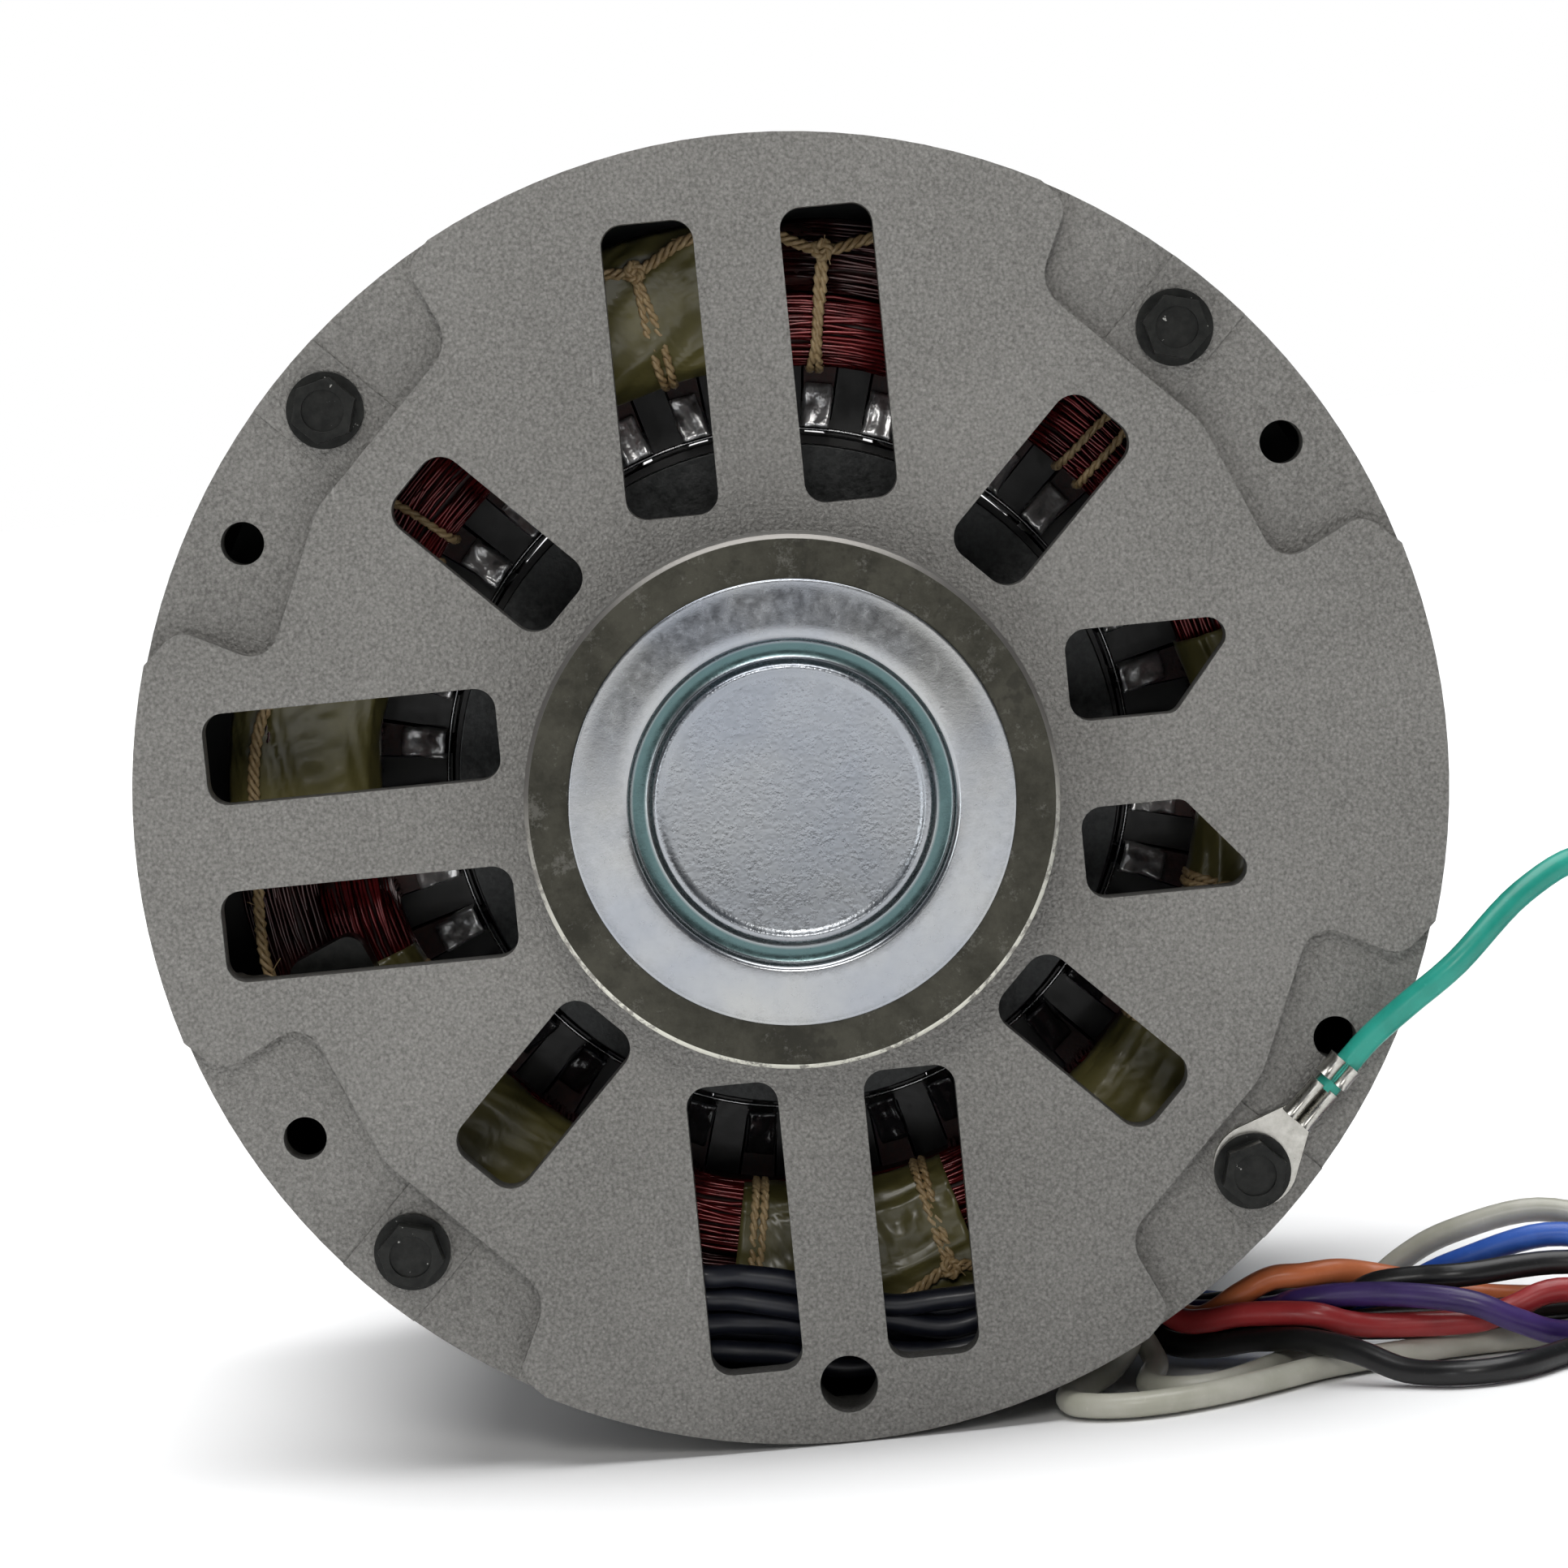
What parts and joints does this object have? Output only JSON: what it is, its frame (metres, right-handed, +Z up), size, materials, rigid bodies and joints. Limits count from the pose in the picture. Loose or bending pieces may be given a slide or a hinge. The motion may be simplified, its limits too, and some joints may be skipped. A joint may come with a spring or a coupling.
{
  "type": "blower motor",
  "caption": "Open round fan motor with cast vented end shields, a steel shell, a long flatted shaft and coloured free leads.",
  "frame": {"origin": "where the shaft axis meets the face of the shaft-end shield", "axes": "+Y along the shaft axis, out of the drive end; +Z up, with the lead outlet at the lower right seen from the lead end; +X to the right seen from the lead end"},
  "size_m": [0.2795, 0.2369, 0.143],
  "materials": {
    "cast_aluminium": "fine blasted casting",
    "black_steel": "semi-gloss black paint",
    "core_steel": "dark laminations",
    "film": "clear amber film",
    "magnet_wire": "dark red enamel",
    "cord": "varnished lacing cord",
    "black_insulation": "soft insulation",
    "protector": "plated can in sleeving",
    "bolt_steel": "black oxide",
    "sintered_bronze": "sintered",
    "felt": "oiled felt",
    "zinc_plate": "bright zinc plate",
    "rubber": "matt black",
    "tinned": "tinned",
    "label_foil": "blank satin foil",
    "orange_insulation": "satin",
    "red_insulation": "satin",
    "brown_insulation": "satin",
    "purple_insulation": "satin",
    "blue_insulation": "satin",
    "black_lead_insulation": "satin",
    "white_insulation": "satin",
    "green_insulation": "satin",
    "mixed_leads": "satin, stands in for the coiled leads",
    "tie": "natural nylon",
    "shaft_steel": "ground",
    "cage_aluminium": "dull die casting",
    "nylon": "natural",
    "spring_steel": "dark"
  },
  "bodies": {
    "stator": {"lead_end_shield": "cast_aluminium", "shaft_end_shield": "cast_aluminium", "shell": "black_steel", "stator_core": "core_steel", "slot_wedges": "film", "slot_conductors": "magnet_wire", "main_winding_lead_end": "magnet_wire", "main_winding_shaft_end": "magnet_wire", "start_winding_lead_end": "magnet_wire", "start_winding_shaft_end": "magnet_wire", "phase_insulation_lead_end": "film", "phase_insulation_shaft_end": "film", "lacing_lead_end": "cord", "lacing_shaft_end": "cord", "internal_leads": "black_insulation", "thermal_protector": "protector", "through_bolts": "bolt_steel", "bolt_nuts": "bolt_steel", "lead_end_bearing": "sintered_bronze", "shaft_end_bearing": "sintered_bronze", "lead_end_wick": "felt", "shaft_end_wick": "felt", "lead_end_retainer": "zinc_plate", "shaft_end_retainer": "zinc_plate", "lead_end_cap": "zinc_plate", "shaft_end_cap": "zinc_plate", "lead_grommet": "rubber", "ground_terminal": "tinned", "data_plate": "label_foil", "lead_orange": "orange_insulation", "lead_red": "red_insulation", "lead_brown_1": "brown_insulation", "lead_brown_2": "brown_insulation", "lead_purple": "purple_insulation", "lead_blue": "blue_insulation", "lead_black_1": "black_lead_insulation", "lead_black_2": "black_lead_insulation", "lead_white_1": "white_insulation", "lead_white_2": "white_insulation", "lead_green": "green_insulation", "lead_coil": "mixed_leads", "lead_tips": "tinned", "coil_tie": "tie"},
    "rotor": {"rotor_shaft": "shaft_steel", "rotor_core": "core_steel", "rotor_cage": "cage_aluminium", "thrust_washers": "nylon", "retaining_rings": "spring_steel", "shaft_slinger": "rubber"}
  },
  "joints": [
    {"name": "rotor_spin", "type": "hinge", "parent": "stator", "child": "rotor", "pos_m": [0, 0, 0], "axis": [0, 1, 0], "continuous": true}
  ]
}
